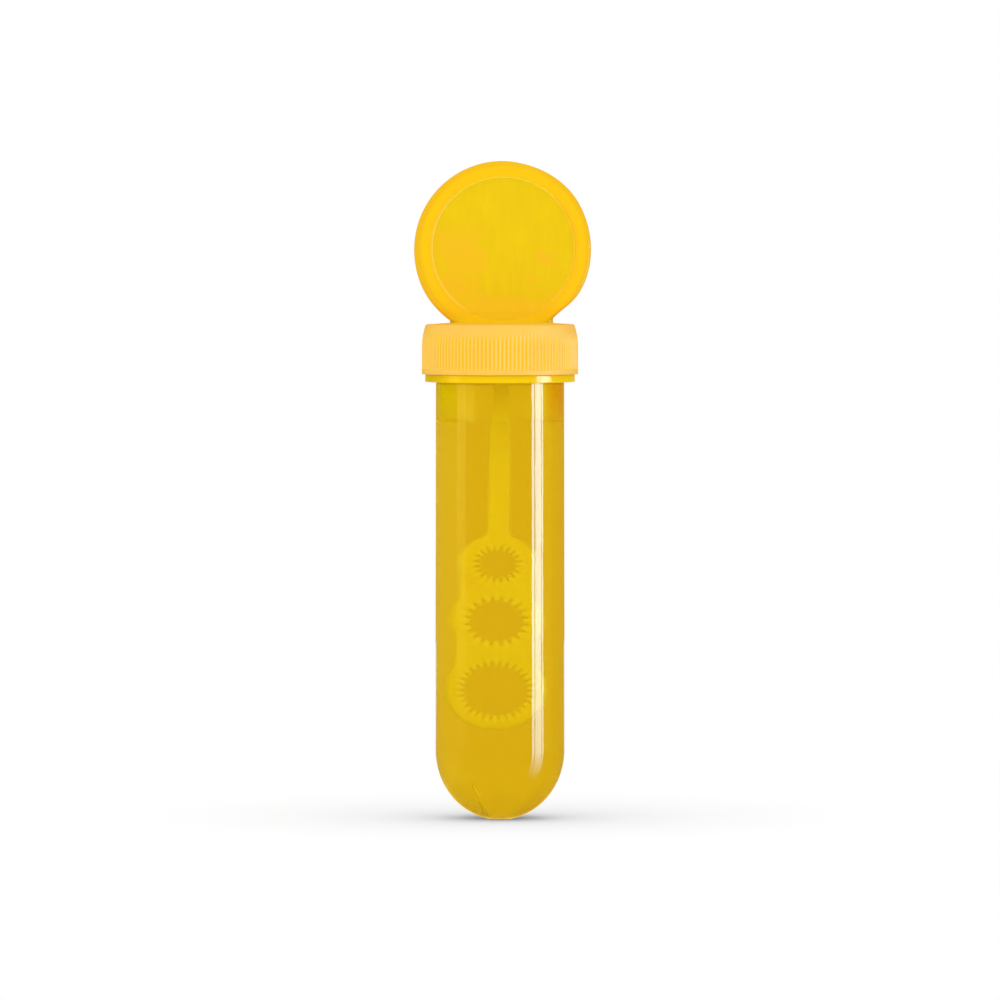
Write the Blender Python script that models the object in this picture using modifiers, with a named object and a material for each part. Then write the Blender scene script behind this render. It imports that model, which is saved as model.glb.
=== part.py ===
"""Bubble tube, metres, +Z up.

A round-bottomed tube with a threaded neck, its ribbed screw cap with a sealing washer, and a
disc handle that plugs into the cap and carries a wand with three toothed rings. The origin is
the middle of the tube's foot, and the handle's disc faces -Y. Sizes and heights are in
millimetres, and the helpers turn them into metres.
"""

import math

import bmesh
import bpy
from mathutils import Matrix, Vector

MM = 0.001
WELD = 1e-6  # metres, the distance at which points of one mesh are joined
PLASTIC_IOR = 1.49

# General
GAP = 0.3  # left between two pieces
EDGE = 0.3  # ordinary chamfers
FINE_EDGE = 0.15  # chamfers of thin rims
FILLET_SHARE = 0.45  # the most of a wall's thickness that one chamfer or fillet takes
CUT = 2.0  # how far a cutter runs past what it cuts

# Smoothness
SEGMENTS = 64  # round the tube and the cap's inside
DISC_SEGMENTS = 72
SMALL_SEGMENTS = 48  # round the washer and the plug
SOCKET_SEGMENTS = 24
DOME_STEPS = 8
RIM_STEPS = 3
CROWN_STEPS = 3
ARC_STEP = 0.2  # radians between the points of the wand's outline

# Tube
TUBE_R_TOP = 12.25  # outside, under the flange
DRAFT = 0.13  # by which the tube's radius grows towards the bottom
TUBE_R_LOW = TUBE_R_TOP + DRAFT
WALL = 1.1
BORE_R = TUBE_R_TOP - WALL
FLOOR = 1.4
DOME_H = 13.5  # half-height of the ellipse that the round bottom follows
FOOT_R = 2.5  # the small flat that the tube stands on
FLANGE_Z = 83.5  # underside
FLANGE_T = 1.15
FLANGE_TOP = FLANGE_Z + FLANGE_T
NECK_R = TUBE_R_TOP
NECK_H = 7.05
LIP_Z = FLANGE_TOP + NECK_H

# Thread, with the same pitch and section on the neck and in the cap
PITCH = 3.0
THREAD_R = 0.75
THREAD_RISE = 1.65  # from the flange to the neck thread's lower end, and from its upper end to the lip
THREAD_Z = FLANGE_TOP + THREAD_RISE
NECK_THREAD_PROUD = 0.85
CAP_THREAD_PROUD = 0.8
THREAD_CLEARANCE = 0.45  # from the neck thread's crest to the cap's bore
CAP_THREAD_RISE = 1.1  # from the cap's lower edge to its thread
CAP_THREAD_DROP = 2.4  # from the lip down to the cap thread's upper end
THREAD_TAPER = 25  # degrees of each end that runs out into the wall
THREAD_END = 0.12  # share of the section that is left at the very end
THREAD_STEP = 8  # degrees between the helix's points

# Cap
CAP_BORE = NECK_R + NECK_THREAD_PROUD + THREAD_CLEARANCE
CAP_WALL = 1.38
CAP_R = CAP_BORE + CAP_WALL
FLANGE_SETBACK = 0.63  # by which the flange stays inside the cap's side
FLANGE_R = CAP_R - FLANGE_SETBACK
CAP_BOTTOM = FLANGE_TOP + GAP
WASHER_T = 1.0
CAP_CEILING = LIP_Z + GAP + WASHER_T + GAP
TOP_T = 1.2
CAP_EDGE_Z = CAP_CEILING + TOP_T
TOP_RISE = 0.33  # from the outer edge to the middle hole
CAP_TOP = CAP_EDGE_Z + TOP_RISE
CROWN = 0.6  # by which the side leans in towards the top
CROWN_H = 3.8
EDGE_R = 0.5
RIBS = 120
RIB_DEPTH = 0.28
BAND_H = 0.85  # the smooth band below the ribs
RIB_RUNOUT = 0.2
RIB_END = 1.2  # from the top edge down to where the ribs end
RIB_FADE = 2.0
SEAT_DEPTH = 0.38  # of the handle's foot in the cap's slot
SEAT_Z = CAP_TOP - SEAT_DEPTH

# Handle
SEAT_X = 0.3  # the handle sits this far off the cap's axis
LEAN = math.radians(0.8)  # of the disc and the wand together
DISC_R = 16.88
DISC_T = 4.0
RIM_FILLET = 1.5
RIM_R = min(RIM_FILLET, FILLET_SHARE * DISC_T)
RING_W = 3.13
RECESS_R = DISC_R - RING_W
RECESS_DEPTH = 0.5
RECESS_DRAFT = 0.2
RECESS_SHIFT = 0.2  # to the right and up of the disc's middle, on both faces
FOOT_W = 19.68
FOOT_H = 0.6  # from the seat to where the disc's rim meets the foot's sides
FOOT_INSET = 0.03  # of the foot's faces behind the disc's
FOOT_T = DISC_T - 2 * FOOT_INSET
DISC_Z = SEAT_Z + FOOT_H + math.sqrt(DISC_R**2 - (FOOT_W / 2) ** 2)

# Wand, with distances down its own axis from the handle's seat
WAND_T = 2.4
STEM_W = 2.9
STEM_FILLET = 0.7
TOP_RING_R = 5.46
MID_RING_R = 6.66
LOW_RING_R = 7.3
RING_BAND = 1.93  # from the tooth roots to the outline, in the upper two rings
LOW_RING_BAND = 1.65
TOP_ROOT_R = TOP_RING_R - RING_BAND
MID_ROOT_R = MID_RING_R - RING_BAND
LOW_ROOT_R = LOW_RING_R - LOW_RING_BAND
TOOTH_DEPTH = 0.9
TOOTH_ROOT = 0.42  # half-width of a tooth where it starts, as a share of the spacing
TOOTH_TIP = 0.2
TOP_TEETH = 20
MID_TEETH = 20
LOW_TEETH = 30
UPPER_BRIDGE = 2.64  # between the tooth roots of the upper two rings
LOWER_BRIDGE = 2.92
WAND_CLEARANCE = 15.95  # from the wand's lowest point to the tube's floor
LOW_RING_DOWN = SEAT_Z - FLOOR - WAND_CLEARANCE - LOW_RING_R
MID_RING_DOWN = LOW_RING_DOWN - LOW_ROOT_R - LOWER_BRIDGE - MID_ROOT_R
TOP_RING_DOWN = MID_RING_DOWN - MID_ROOT_R - UPPER_BRIDGE - TOP_ROOT_R
UPPER_WEB_INSET = 0.16  # of the web's side inside the ring above it
LOWER_WEB_INSET = 0.76
RINGS = (
    # distance down, outer radius, root radius, teeth, half-width of what joins it from above
    (TOP_RING_DOWN, TOP_RING_R, TOP_ROOT_R, TOP_TEETH, STEM_W / 2),
    (MID_RING_DOWN, MID_RING_R, MID_ROOT_R, MID_TEETH, TOP_RING_R - UPPER_WEB_INSET),
    (LOW_RING_DOWN, LOW_RING_R, LOW_ROOT_R, LOW_TEETH, MID_RING_R - LOWER_WEB_INSET),
)

# The cap's hole lets the lowest ring through, and the handle's plug and the washer follow it
RING_CLEARANCE = 0.6
HOLE_R = LOW_RING_R + abs(SEAT_X - LOW_RING_DOWN * math.sin(LEAN)) + RING_CLEARANCE
PLUG_R = HOLE_R - GAP
PLUG_LAP = 0.13  # of the plug's top above the seat
PLUG_TOP = SEAT_Z + PLUG_LAP
PLUG_H = 7.1
PLUG_BOTTOM = PLUG_TOP - PLUG_H
PLUG_WALL = 1.2
PLUG_FLOOR = 1.4
PLUG_ROOM = 1.7  # between the plug and the washer
WASHER_R_IN = PLUG_R + PLUG_ROOM
SOCKET_CLEARANCE = 0.12  # round the corners of the wand's stem
SOCKET_R = math.hypot(STEM_W, WAND_T) / 2 + SOCKET_CLEARANCE
SOCKET_ROOF = 2.1
SOCKET_TOP = PLUG_TOP - SOCKET_ROOF
BOSS_WALL = 1.1
BOSS_R = SOCKET_R + SEAT_X + BOSS_WALL


def clear_scene():
    for obj in list(bpy.data.objects):
        bpy.data.objects.remove(obj, do_unlink=True)
    for block in (bpy.data.meshes, bpy.data.curves, bpy.data.materials):
        for item in list(block):
            block.remove(item)


def new_collection(name):
    made = bpy.data.collections.new(name)
    bpy.context.scene.collection.children.link(made)
    return made


def new_material(name, colour, roughness, alpha=1.0):
    made = bpy.data.materials.new(name)
    made.use_nodes = True
    shader = made.node_tree.nodes["Principled BSDF"]
    shader.inputs["Base Color"].default_value = (*colour, 1.0)
    shader.inputs["Roughness"].default_value = roughness
    shader.inputs["Metallic"].default_value = 0.0
    shader.inputs["IOR"].default_value = PLASTIC_IOR
    shader.inputs["Alpha"].default_value = alpha
    made.diffuse_color = (*colour, alpha)
    return made


def add_object(name, data, collection):
    made = bpy.data.objects.new(name, data)
    collection.objects.link(made)
    return made


def helper(obj):
    """Marks an object that only cuts or joins."""
    obj.hide_render = True
    obj.display_type = "WIRE"
    return obj


def hang(child, parent):
    """Parents child and leaves it where it is."""
    bpy.context.view_layer.update()
    child.parent = parent
    child.matrix_parent_inverse = parent.matrix_world.inverted()


def shade(mesh):
    mesh.shade_smooth()
    mesh.set_sharp_from_angle(angle=math.radians(30))


def eased(size, wall):
    """A chamfer's size, limited by its wall."""
    return min(size, FILLET_SHARE * wall)


def turned(name, profile, collection, closed=False, segments=SEGMENTS):
    """A body of revolution about Z. The (radius, height) profile runs down its outer side."""
    mesh = bpy.data.meshes.new(name)
    edges = [(i, i + 1) for i in range(len(profile) - 1)]
    if closed:
        edges.append((len(profile) - 1, 0))
    mesh.from_pydata([(r * MM, 0, z * MM) for r, z in profile], edges, [])
    made = add_object(name, mesh, collection)
    screw = made.modifiers.new("Turn", "SCREW")
    screw.axis = "Z"
    screw.angle = math.tau
    screw.steps = screw.render_steps = segments
    screw.use_smooth_shade = True
    screw.use_merge_vertices = True
    screw.merge_threshold = WELD
    return made


def boolean(obj, other, operation):
    step = obj.modifiers.new(f"{operation.title()} {other.name}", "BOOLEAN")
    step.solver = "EXACT"
    step.operation = operation
    step.object = other


def box(name, centre, size, collection, rounded=0.0):
    """A cuboid. rounded is the radius of its upright edges."""
    mesh = bpy.data.meshes.new(name)
    shape = bmesh.new()
    bmesh.ops.create_cube(shape, size=1.0)
    bmesh.ops.scale(shape, vec=Vector(size) * MM, verts=shape.verts)
    bmesh.ops.translate(shape, vec=Vector(centre) * MM, verts=shape.verts)
    if rounded:
        upright = [
            edge for edge in shape.edges if edge.verts[0].co.xy == edge.verts[1].co.xy
        ]
        bmesh.ops.bevel(
            shape,
            geom=upright,
            offset=rounded * MM,
            offset_type="OFFSET",
            segments=4,
            profile=0.5,
            affect="EDGES",
        )
    shape.to_mesh(mesh)
    shape.free()
    return add_object(name, mesh, collection)


def mesh_of_curve(name, curve, collection):
    """The closed mesh that a curve makes, with its caps joined on."""
    source = add_object(name + "_curve", curve, collection)
    graph = bpy.context.evaluated_depsgraph_get()
    mesh = bpy.data.meshes.new_from_object(source.evaluated_get(graph))
    mesh.name = name
    bpy.data.objects.remove(source, do_unlink=True)
    shape = bmesh.new()
    shape.from_mesh(mesh)
    bmesh.ops.remove_doubles(shape, verts=shape.verts, dist=WELD / 10)
    bmesh.ops.recalc_face_normals(shape, faces=shape.faces)
    shape.to_mesh(mesh)
    shape.free()
    shade(mesh)
    return add_object(name, mesh, collection)


def thread(name, wall_r, proud, inwards, z_zero, low, high, collection):
    """A round-section helix on a wall, from height low to height high.

    z_zero is the helix's height at angle 0. Both ends taper and sink into the wall.
    """
    first = 360 * (low - z_zero) / PITCH
    last = 360 * (high - z_zero) / PITCH
    side = -1 if inwards else 1
    centre_r = wall_r + side * (proud - THREAD_R)
    curve = bpy.data.curves.new(name, "CURVE")
    curve.dimensions = "3D"
    curve.bevel_depth = THREAD_R * MM
    curve.bevel_resolution = 1
    curve.use_fill_caps = True
    count = round((last - first) / THREAD_STEP) + 1
    spline = curve.splines.new("POLY")
    spline.points.add(count - 1)
    for i, point in enumerate(spline.points):
        angle = first + (last - first) * i / (count - 1)
        full = min(1.0, (angle - first) / THREAD_TAPER, (last - angle) / THREAD_TAPER)
        full = max(full, THREAD_END)
        r = centre_r - side * (1 - full) * THREAD_R
        turn = math.radians(angle)
        point.co = (
            r * math.cos(turn) * MM,
            r * math.sin(turn) * MM,
            (z_zero + PITCH * angle / 360) * MM,
            1.0,
        )
        point.radius = full
    return helper(mesh_of_curve(name, curve, collection))


def dome(a, b, centre_z, start):
    """An ellipse's lower quarter as (radius, height), from start off its lowest point."""
    angles = [start + (math.pi / 2 - start) * i / DOME_STEPS for i in range(DOME_STEPS + 1)]
    return [(a * math.sin(t), centre_z - b * math.cos(t)) for t in angles]


def build_tube(parts, cutters):
    start = math.asin(FOOT_R / TUBE_R_LOW)
    centre_z = DOME_H * math.cos(start)
    outer = dome(TUBE_R_LOW, DOME_H, centre_z, start)
    outer[0] = (FOOT_R, 0.0)
    lip = eased(EDGE, WALL)
    rim = eased(FINE_EDGE, FLANGE_T)
    profile = dome(TUBE_R_LOW - WALL, DOME_H - FLOOR, centre_z, 0) + [
        (BORE_R, FLANGE_Z),
        (BORE_R, LIP_Z - lip),
        (BORE_R + lip, LIP_Z),
        (NECK_R - lip, LIP_Z),
        (NECK_R, LIP_Z - lip),
        (NECK_R, FLANGE_TOP),
        (FLANGE_R - rim, FLANGE_TOP),
        (FLANGE_R, FLANGE_TOP - rim),
        (FLANGE_R, FLANGE_Z + rim),
        (FLANGE_R - rim, FLANGE_Z),
        (TUBE_R_TOP + EDGE, FLANGE_Z),
        (TUBE_R_TOP, FLANGE_Z - EDGE),
    ]
    profile += outer[::-1] + [(0.0, 0.0)]
    tube = turned("tube", profile, parts)
    helix = thread(
        "neck_thread",
        NECK_R,
        NECK_THREAD_PROUD,
        False,
        THREAD_Z,
        THREAD_Z,
        LIP_Z - THREAD_RISE,
        cutters,
    )
    boolean(tube, helix, "UNION")
    return tube


def build_washer(parts):
    low = LIP_Z + GAP
    high = low + WASHER_T
    outer = CAP_BORE - GAP
    profile = [(WASHER_R_IN, low), (WASHER_R_IN, high), (outer, high), (outer, low)]
    return turned("sealing_washer", profile, parts, closed=True, segments=SMALL_SEGMENTS)


def ribbed_body(name, rows, collection):
    """The cap's outside as a solid. Each row is (radius, height, rib depth).

    A row with ribs has a crest and a groove for each rib, and a plain row has one point each.
    """
    shape = bmesh.new()
    rings = []
    for r, z, depth in rows:
        count = 2 * RIBS if depth > 0 else RIBS
        ring = []
        for i in range(count):
            turn = math.tau * i / count
            reach = (r - depth if i % 2 and depth > 0 else r) * MM
            ring.append(
                shape.verts.new((reach * math.cos(turn), reach * math.sin(turn), z * MM))
            )
        rings.append(ring)
    for low, high in zip(rings, rings[1:]):
        few, many = (high, low) if len(low) > len(high) else (low, high)
        for k in range(len(few)):
            a, b = few[k], few[(k + 1) % len(few)]
            if len(few) == len(many):
                shape.faces.new((a, b, many[(k + 1) % len(many)], many[k]))
                continue
            c, d, e = (many[(2 * k + n) % len(many)] for n in range(3))
            shape.faces.new((a, d, c))
            shape.faces.new((a, b, d))
            shape.faces.new((b, e, d))
    shape.faces.new(rings[0])
    shape.faces.new(rings[-1])
    bmesh.ops.recalc_face_normals(shape, faces=shape.faces)
    mesh = bpy.data.meshes.new(name)
    shape.to_mesh(mesh)
    shape.free()
    shade(mesh)
    return add_object(name, mesh, collection)


def cap_rows():
    """The cap's side from its lower edge up to the middle hole, for ribbed_body."""
    ribs_to = CAP_EDGE_Z - RIB_END
    crown_to = CAP_EDGE_Z - EDGE_R
    rows = [
        (CAP_R - FINE_EDGE, CAP_BOTTOM, 0),
        (CAP_R, CAP_BOTTOM + FINE_EDGE, 0),
        (CAP_R, CAP_BOTTOM + BAND_H, 0),
        (CAP_R, CAP_BOTTOM + BAND_H + RIB_RUNOUT, RIB_DEPTH),
    ]
    for i in range(CROWN_STEPS + 1):
        share = i / CROWN_STEPS
        z = crown_to - CROWN_H * (1 - share)
        depth = RIB_DEPTH * max(0.0, min(1.0, (ribs_to - z) / RIB_FADE))
        rows.append((CAP_R - CROWN * share**2, z, depth))
    for turn in (math.pi / 4, math.pi / 2):
        r = CAP_R - CROWN - EDGE_R * (1 - math.cos(turn))
        rows.append((r, crown_to + EDGE_R * math.sin(turn), 0))
    rows.append((HOLE_R - EDGE, CAP_TOP, 0))
    return rows


def build_cap(parts, cutters):
    cap = ribbed_body("screw_cap", cap_rows(), parts)
    inside = turned(
        "cap_inside",
        [
            (0.0, CAP_TOP + CUT),
            (HOLE_R, CAP_TOP + CUT),
            (HOLE_R, CAP_CEILING),
            (CAP_BORE - EDGE, CAP_CEILING),
            (CAP_BORE, CAP_CEILING - EDGE),
            (CAP_BORE, CAP_BOTTOM + EDGE),
            (CAP_BORE + EDGE, CAP_BOTTOM),
            (CAP_BORE + EDGE, CAP_BOTTOM - CUT),
            (0.0, CAP_BOTTOM - CUT),
        ],
        cutters,
    )
    slot_floor = SEAT_Z - GAP
    slot_h = CAP_TOP + CUT - slot_floor
    slot = box(
        "cap_slot",
        (SEAT_X, 0, slot_floor + slot_h / 2),
        (FOOT_W + 2 * GAP, FOOT_T + 2 * GAP, slot_h),
        cutters,
    )
    helix = thread(
        "cap_thread",
        CAP_BORE,
        CAP_THREAD_PROUD,
        True,
        THREAD_Z - PITCH / 2,
        CAP_BOTTOM + CAP_THREAD_RISE,
        LIP_Z - CAP_THREAD_DROP,
        cutters,
    )
    boolean(cap, helper(inside), "DIFFERENCE")
    boolean(cap, helper(slot), "DIFFERENCE")
    boolean(cap, helix, "UNION")
    return cap


def leaned(point):
    """Where a point of the upright handle or wand goes when both lean about the seat."""
    seat = Matrix.Translation(Vector((SEAT_X, 0, SEAT_Z)) * MM)
    return seat @ Matrix.Rotation(LEAN, 4, "Y") @ Matrix.Translation(Vector(point) * MM)


def build_disc(parts, lie_down):
    """The upright disc. It is turned about Z and then laid with its axis along Y."""
    half = DISC_T / 2
    rim = [
        (DISC_R - RIM_R * (1 - math.sin(a)), half - RIM_R * (1 - math.cos(a)))
        for a in (math.pi / 2 * i / RIM_STEPS for i in range(RIM_STEPS + 1))
    ]
    profile = [(0.0, half)] + rim + [(r, -z) for r, z in reversed(rim)] + [(0.0, -half)]
    disc = turned("handle", profile, parts, segments=DISC_SEGMENTS)
    disc.matrix_world = leaned((0, 0, DISC_Z - SEAT_Z)) @ lie_down
    return disc


def build_recess(name, side, cutters, lie_down):
    """The cutter of one face's shallow recess. side is 1 for the front and -1 for the back."""
    floor, face, out = (side * (DISC_T / 2 + d) for d in (-RECESS_DEPTH, 0, CUT))
    floor_r = RECESS_R - RECESS_DRAFT
    profile = [(0.0, out), (RECESS_R, out), (RECESS_R, face), (floor_r, floor), (0.0, floor)]
    recess = turned(name, profile[::side], cutters)
    centre = (RECESS_SHIFT, 0, DISC_Z - SEAT_Z + RECESS_SHIFT)
    recess.matrix_world = leaned(centre) @ lie_down
    return recess


def build_plug(cutters):
    """The hollow plug in the cap's hole, with the boss that holds the wand."""
    inner_r = PLUG_R - PLUG_WALL
    floor = PLUG_TOP - PLUG_FLOOR
    profile = [
        (0.0, PLUG_TOP),
        (PLUG_R, PLUG_TOP),
        (PLUG_R, PLUG_BOTTOM + EDGE),
        (PLUG_R - EDGE, PLUG_BOTTOM),
        (inner_r, PLUG_BOTTOM),
        (inner_r, floor),
        (BOSS_R, floor),
        (BOSS_R, PLUG_BOTTOM),
        (0.0, PLUG_BOTTOM),
    ]
    return turned("handle_plug", profile, cutters, segments=SMALL_SEGMENTS)


def build_handle(parts, cutters):
    lie_down = Matrix.Rotation(math.pi / 2, 4, "X")
    handle = build_disc(parts, lie_down)
    below = box(
        "handle_below",
        (SEAT_X, 0, SEAT_Z + FOOT_INSET - DISC_R / 2),
        (2 * (DISC_R + CUT), DISC_T + 2 * CUT, DISC_R),
        cutters,
    )
    foot_h = FOOT_H + RIM_R
    foot = box(
        "handle_foot",
        (SEAT_X, 0, SEAT_Z + foot_h / 2),
        (FOOT_W, FOOT_T, foot_h),
        cutters,
        rounded=eased(RIM_FILLET, FOOT_T),
    )
    recesses = [
        build_recess("front_recess", 1, cutters, lie_down),
        build_recess("back_recess", -1, cutters, lie_down),
    ]
    plug = build_plug(cutters)
    roof = SOCKET_TOP - SEAT_Z
    mouth = PLUG_BOTTOM - CUT - SEAT_Z
    socket = turned(
        "wand_socket",
        [(0.0, roof), (SOCKET_R, roof), (SOCKET_R, mouth), (0.0, mouth)],
        cutters,
        segments=SOCKET_SEGMENTS,
    )
    socket.matrix_world = leaned((0, 0, 0))
    boolean(handle, helper(below), "DIFFERENCE")
    boolean(handle, helper(foot), "UNION")
    for recess in recesses:
        boolean(handle, helper(recess), "DIFFERENCE")
    boolean(handle, helper(plug), "UNION")
    boolean(handle, helper(socket), "DIFFERENCE")
    return handle


def outline_of_wand():
    """The right side of the wand's outline from its top down to its lowest point, as (x, z)."""
    half = STEM_W / 2
    top = SOCKET_TOP - GAP - SEAT_Z
    side = [(half - EDGE, top), (half, top - EDGE)]
    for i, (down, outer, _, _, above) in enumerate(RINGS):
        begin = math.acos(min(1.0, above / outer))
        end = -math.pi / 2
        if i + 1 < len(RINGS):
            below = RINGS[i + 1][4]
            end = -math.acos(min(1.0, below / outer))
        if i == 0:
            side.append((half, outer * math.sin(begin) - down + STEM_FILLET))
            begin -= STEM_FILLET / outer
        steps = max(2, round((begin - end) / ARC_STEP))
        for k in range(steps + 1):
            angle = begin + (end - begin) * k / steps
            side.append((outer * math.cos(angle), outer * math.sin(angle) - down))
    return side


def toothed_hole(down, root, teeth):
    """The edge of one ring's hole: teeth with flat tips and roots, as (x, z)."""
    tip = root - TOOTH_DEPTH
    points = []
    for i in range(teeth):
        for part, r in ((-TOOTH_ROOT, root), (-TOOTH_TIP, tip), (TOOTH_TIP, tip), (TOOTH_ROOT, root)):
            turn = math.tau * (i + part) / teeth + math.pi / 2
            points.append((r * math.cos(turn), r * math.sin(turn) - down))
    return points


def build_wand(parts):
    side = outline_of_wand()
    lowest = side.pop()
    outline = side + [lowest] + [(-x, z) for x, z in reversed(side)]
    holes = [toothed_hole(down, root, teeth) for down, _, root, teeth, _ in RINGS]
    curve = bpy.data.curves.new("wand_outline", "CURVE")
    curve.dimensions = "2D"
    curve.fill_mode = "BOTH"
    curve.extrude = (WAND_T / 2 - EDGE) * MM
    curve.bevel_depth = EDGE * MM
    curve.bevel_resolution = 0
    curve.offset = -EDGE * MM
    for points in [outline] + holes:
        spline = curve.splines.new("POLY")
        spline.points.add(len(points) - 1)
        spline.use_cyclic_u = True
        for point, (x, z) in zip(spline.points, points):
            point.co = (x * MM, z * MM, 0, 1)
    wand = mesh_of_curve("wand", curve, parts)
    # The outline is drawn in XY, and Y becomes the wand's height
    wand.matrix_world = leaned((0, 0, 0)) @ Matrix.Rotation(math.pi / 2, 4, "X")
    return wand


def main():
    clear_scene()
    parts = new_collection("bubble_tube")
    cutters = new_collection("bubble_tube_cutters")
    tube = build_tube(parts, cutters)
    washer = build_washer(parts)
    cap = build_cap(parts, cutters)
    handle = build_handle(parts, cutters)
    wand = build_wand(parts)
    for obj, material in (
        (tube, new_material("tube_plastic", (0.85, 0.56, 0.02), 0.12, 0.6)),
        (washer, new_material("washer_foam", (0.82, 0.82, 0.78), 0.7)),
        (cap, new_material("cap_plastic", (0.98, 0.58, 0.035), 0.38)),
        (handle, new_material("handle_plastic", (0.98, 0.6, 0.005), 0.25)),
        (wand, new_material("wand_plastic", (0.9, 0.62, 0.02), 0.3)),
    ):
        obj.data.materials.append(material)

    # The cap turns and rises about one empty, and the handle lifts off it on another
    cap_axis = add_object("cap_axis", None, parts)
    cap_axis.location.z = CAP_BOTTOM * MM
    lift_axis = add_object("wand_lift_axis", None, parts)
    lift_axis.location.z = SEAT_Z * MM
    hang(lift_axis, cap_axis)
    for obj in (washer, cap):
        hang(obj, cap_axis)
    for obj in (handle, wand):
        hang(obj, lift_axis)


main()
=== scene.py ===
"""Bubble tube: the looks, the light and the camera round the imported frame.

Shapes are given in millimetres, and the helpers turn them into metres.
"""

import math

import bmesh
import bpy
from mathutils import Matrix, Vector


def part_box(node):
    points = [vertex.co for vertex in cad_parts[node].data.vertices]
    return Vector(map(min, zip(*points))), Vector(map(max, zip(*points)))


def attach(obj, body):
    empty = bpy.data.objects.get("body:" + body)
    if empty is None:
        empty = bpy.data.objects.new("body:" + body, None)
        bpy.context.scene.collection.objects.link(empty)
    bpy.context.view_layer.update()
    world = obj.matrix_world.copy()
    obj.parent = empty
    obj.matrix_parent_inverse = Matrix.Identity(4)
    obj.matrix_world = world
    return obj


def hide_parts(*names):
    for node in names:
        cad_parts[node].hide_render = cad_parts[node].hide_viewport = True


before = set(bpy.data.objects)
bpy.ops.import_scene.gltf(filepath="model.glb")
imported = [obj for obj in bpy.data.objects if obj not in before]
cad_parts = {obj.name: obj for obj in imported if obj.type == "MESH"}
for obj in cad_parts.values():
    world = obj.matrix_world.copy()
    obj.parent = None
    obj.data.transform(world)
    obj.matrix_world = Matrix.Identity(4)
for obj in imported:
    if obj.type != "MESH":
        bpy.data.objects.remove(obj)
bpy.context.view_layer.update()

MM = 0.001
TO_MM = 1 / MM


def cad(node, corner, axis):
    """A coordinate of a node's box, in millimetres. corner is 0 for low and 1 for high."""
    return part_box(node)[corner]["xyz".index(axis)] * TO_MM


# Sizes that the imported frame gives
GAP = 0.3
FLANGE_R = cad("tube", 1, "x")
LIP_Z = cad("tube", 1, "z")
CAP_R = cad("screw_cap", 1, "x")
CAP_BOTTOM = cad("screw_cap", 0, "z")
CAP_TOP = cad("screw_cap", 1, "z")
CAP_CEILING = cad("sealing_washer", 1, "z") + GAP
CAP_BORE = cad("sealing_washer", 1, "x") + GAP
DISC_TOP = cad("handle", 1, "z")
PLUG_R = cad("handle", 1, "y")
PLUG_BOTTOM = cad("handle", 0, "z")

# Tube
TUBE_R_TOP = 12.25
TUBE_R_LOW = 12.38
WALL = 1.1
FLOOR = 1.4
DOME_H = 13.5
FOOT_R = 2.5
FLANGE_TOP = CAP_BOTTOM - GAP
FLANGE_SEEN_TOP = CAP_BOTTOM - 0.05
FLANGE_Z = FLANGE_TOP - 1.15  # its underside
AROUND = 192  # corners round the tube and the liquid
INNER_STEPS = 24  # from the axis up the dome's side
OUTER_STEPS = 28
THREAD_RISE = 1.65
PITCH = 3.0
THREAD_R = 0.75
THREAD_TAPER = 25  # degrees
THREAD_STEP = 4  # degrees
THREAD_TIP = 0.12  # of its full radius
NECK_THREAD_PROUD = 0.85
LEVEL_Z = 75.9  # of the bubble liquid
MENISCUS_H = 0.12
MENISCUS_REACH = 1.1
LIQUID_LAP = 0.15  # by which the liquid's mesh reaches into the wall
MARK_ENDS = ((-4.87, 6.85), (-2.4, 0.95))  # of the mould's mark, as (x, z)
MARK_LINE_R = 0.07
MARK_DOT_R = 0.2

# Cap
HOLE_R = PLUG_R + GAP
CAP_EDGE_Z = CAP_TOP - 0.33
CROWN = 0.6
CROWN_H = 3.8
EDGE_R = 0.5
RIBS = 120
RIB_DEPTH = 0.24
BAND_H = 0.85
RIB_RUNOUT = 0.25
RIB_END = 1.2
RIB_FADE = 2.0
CAP_FILLET = 0.2
CAP_CHAMFER = 0.3
CAP_SLOT_H = 4.0
CAP_THREAD_PROUD = 0.8
CAP_THREAD_LOW = CAP_BOTTOM + 1.1
CAP_THREAD_HIGH = LIP_Z - 2.4

# Handle
SEAT_Z = CAP_TOP - 0.38
SEAT_X = 0.3
LEAN = math.radians(0.8)
DISC_R = 16.88
DISC_T = 4.0
RIM_FILLET = 1.5
RECESS_R = 13.85
RECESS_DEPTH = 0.5
RECESS_SHIFT = 0.2
FOOT_W = 19.68
FOOT_H = 2.1
DISC_Z = DISC_TOP - DISC_R
PLUG_TOP = SEAT_Z + 0.13
PLUG_WALL = 1.2
PLUG_ROOF = 1.4
BOSS_R = 3.4
SOCKET_R = 2.0
PAST = 5.0  # by which the socket's cutter goes on past the plug

# Wand, with distances down its own axis from the handle's seat
WAND_T = 2 * cad("wand", 1, "y")
WAND_TOP = cad("wand", 1, "z")
STEM_W = 2.9
WAND_EDGE = 0.22
STEM_FILLET = 0.7
STEM_CHAMFER = 0.3
TOOTH_DEPTH = 0.9
TOOTH_HALF = 0.44  # of the teeth's spacing
TOOTH_FLANK = 0.26  # of the teeth's spacing
RINGS = (
    # distance down, outer radius, root radius, teeth, half-width of what joins it from above
    (45.6, 5.46, 3.53, 20, STEM_W / 2),
    (56.5, 6.66, 4.73, 20, 5.3),
    (69.8, 7.3, 5.65, 30, 5.9),
)

# Light, where a strength of 1 is white
SKY_FRONT = 1.26
SKY_BACK = 0.74
SKY_LEVEL = 0.9
SKY_OVERHEAD = 1.15
ROOM_DIM = 0.06
ROOM_BRIGHT = 0.8

# Where the room brightens, the backdrop begins and the floor is behind: the y of a direction
ROOM_TURNS = 0.4
BACKDROP = (0.97, 0.985)
FLOOR_BEHIND = (0.9, 0.96)

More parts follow.
